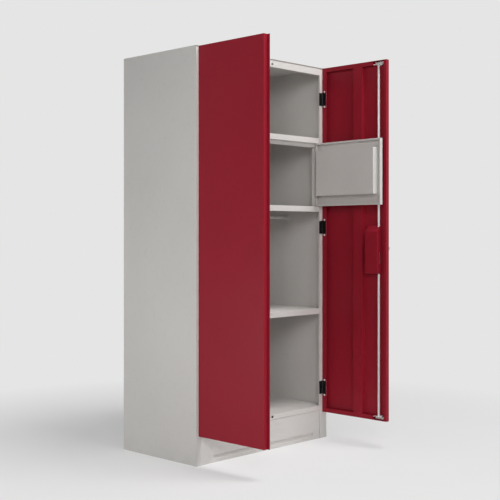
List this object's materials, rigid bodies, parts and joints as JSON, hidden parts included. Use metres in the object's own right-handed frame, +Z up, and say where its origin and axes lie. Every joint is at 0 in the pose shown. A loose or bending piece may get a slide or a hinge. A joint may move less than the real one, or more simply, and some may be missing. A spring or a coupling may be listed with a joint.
{
  "type": "steel locker cupboard",
  "caption": "Tall steel cupboard on a plinth with hinged doors, a partition, shelves, coat rails, a small inner safe with its own door, and a turning rod lock.",
  "frame": {"origin": "on the floor at the middle of the body's footprint, doors left out", "axes": "+X to the right seen from the front, +Y into the depth, +Z up"},
  "size_m": [0.873, 0.9087, 1.8],
  "materials": {
    "grey_enamel": "warm light grey enamel, satin",
    "ruby_enamel": "ruby red enamel, satin",
    "hinge_black": "black, satin",
    "zinc_plate": "pale zinc plating",
    "rail_chrome": "bright tube",
    "handle_chrome": "satin chrome"
  },
  "bodies": {
    "cupboard": {"left_side_panel": "grey_enamel", "right_side_panel": "grey_enamel", "back_panel": "grey_enamel", "top_panel": "grey_enamel", "floor_panel": "grey_enamel", "plinth_front": "grey_enamel", "plinth_back": "grey_enamel", "plinth_tie_bar": "grey_enamel", "partition": "grey_enamel", "left_hat_shelf": "grey_enamel", "right_hat_shelf": "grey_enamel", "safe_shelf": "grey_enamel", "boot_shelf": "grey_enamel", "shelf_clips": "grey_enamel", "safe_frame": "grey_enamel", "left_coat_rail": "rail_chrome", "right_coat_rail": "rail_chrome", "rail_sockets": "zinc_plate", "left_frame_leaves": "hinge_black", "right_frame_leaves": "hinge_black", "left_hinge_pins": "hinge_black", "right_hinge_pins": "hinge_black", "frame_rivets": "hinge_black", "safe_pivot_brackets": "grey_enamel"},
    "left_door": {"left_door_pan": "ruby_enamel", "left_door_stiffener": "ruby_enamel", "closing_strip": "ruby_enamel", "left_door_leaves": "hinge_black", "left_hinge_plates": "zinc_plate", "left_door_rivets": "hinge_black", "left_plate_screws": "zinc_plate"},
    "right_door": {"right_door_pan": "ruby_enamel", "right_door_stiffener": "ruby_enamel", "lock_cover": "ruby_enamel", "lock_case": "zinc_plate", "rod_guides": "zinc_plate", "escutcheon": "handle_chrome", "right_door_leaves": "hinge_black", "right_hinge_plates": "zinc_plate", "right_door_rivets": "hinge_black", "right_plate_screws": "zinc_plate"},
    "rod_set": {"lock_rod": "zinc_plate", "rod_hooks": "zinc_plate", "rod_gear": "handle_chrome"},
    "handle_set": {"turn_handle": "handle_chrome", "handle_spindle": "handle_chrome", "spindle_gear": "handle_chrome"},
    "key_plug_set": {"key_plug": "zinc_plate"},
    "safe_door": {"safe_door_pan": "grey_enamel", "safe_door_liner": "grey_enamel", "safe_pivot_pins": "zinc_plate", "safe_lock_case": "handle_chrome"},
    "safe_lock": {"safe_lock_plug": "zinc_plate"},
    "safe_bolt_set": {"safe_bolt": "zinc_plate"}
  },
  "joints": [
    {"name": "left_door_hinge", "type": "hinge", "parent": "cupboard", "child": "left_door", "pos_m": [-0.3915, -0.2515, 1.0255], "axis": [0, 0, 1], "range_deg": [0, 90]},
    {"name": "right_door_hinge", "type": "hinge", "parent": "cupboard", "child": "right_door", "pos_m": [0.3915, -0.2515, 1.0255], "axis": [0, 0, -1], "range_deg": [0, 90]},
    {"name": "rod_turn", "type": "hinge", "parent": "right_door", "child": "rod_set", "pos_m": [0.403, -0.5895, 0.9625], "axis": [0, 0, -1], "range_deg": [0, 70]},
    {"name": "handle_turn", "type": "hinge", "parent": "right_door", "child": "handle_set", "pos_m": [0.413, -0.5732, 0.9255], "axis": [-1, 0, 0], "range_deg": [0, 70]},
    {"name": "key_turn", "type": "hinge", "parent": "handle_set", "child": "key_plug_set", "pos_m": [0.447, -0.5732, 0.9255], "axis": [-1, 0, 0], "range_deg": [0, 90]},
    {"name": "safe_door_hinge", "type": "hinge", "parent": "cupboard", "child": "safe_door", "pos_m": [0.366, -0.2445, 1.2785], "axis": [0, 0, -1], "range_deg": [0, 86]},
    {"name": "safe_lock_turn", "type": "hinge", "parent": "safe_door", "child": "safe_lock", "pos_m": [0.3251, -0.62157, 1.2785], "axis": [0.9976, -0.0698, 0], "range_deg": [0, 90]},
    {"name": "safe_bolt_slide", "type": "slide", "parent": "safe_door", "child": "safe_bolt_set", "axis": [-0.0698, -0.9976, 0], "range_m": [0, 0.00693]}
  ],
  "couplings": [
    {"joint": "safe_door_hinge", "follows": "right_door_hinge", "ratio": 0.9555},
    {"joint": "handle_turn", "follows": "rod_turn", "ratio": 1},
    {"joint": "safe_bolt_slide", "follows": "safe_lock_turn", "m_per_rad": 0.004412}
  ]
}
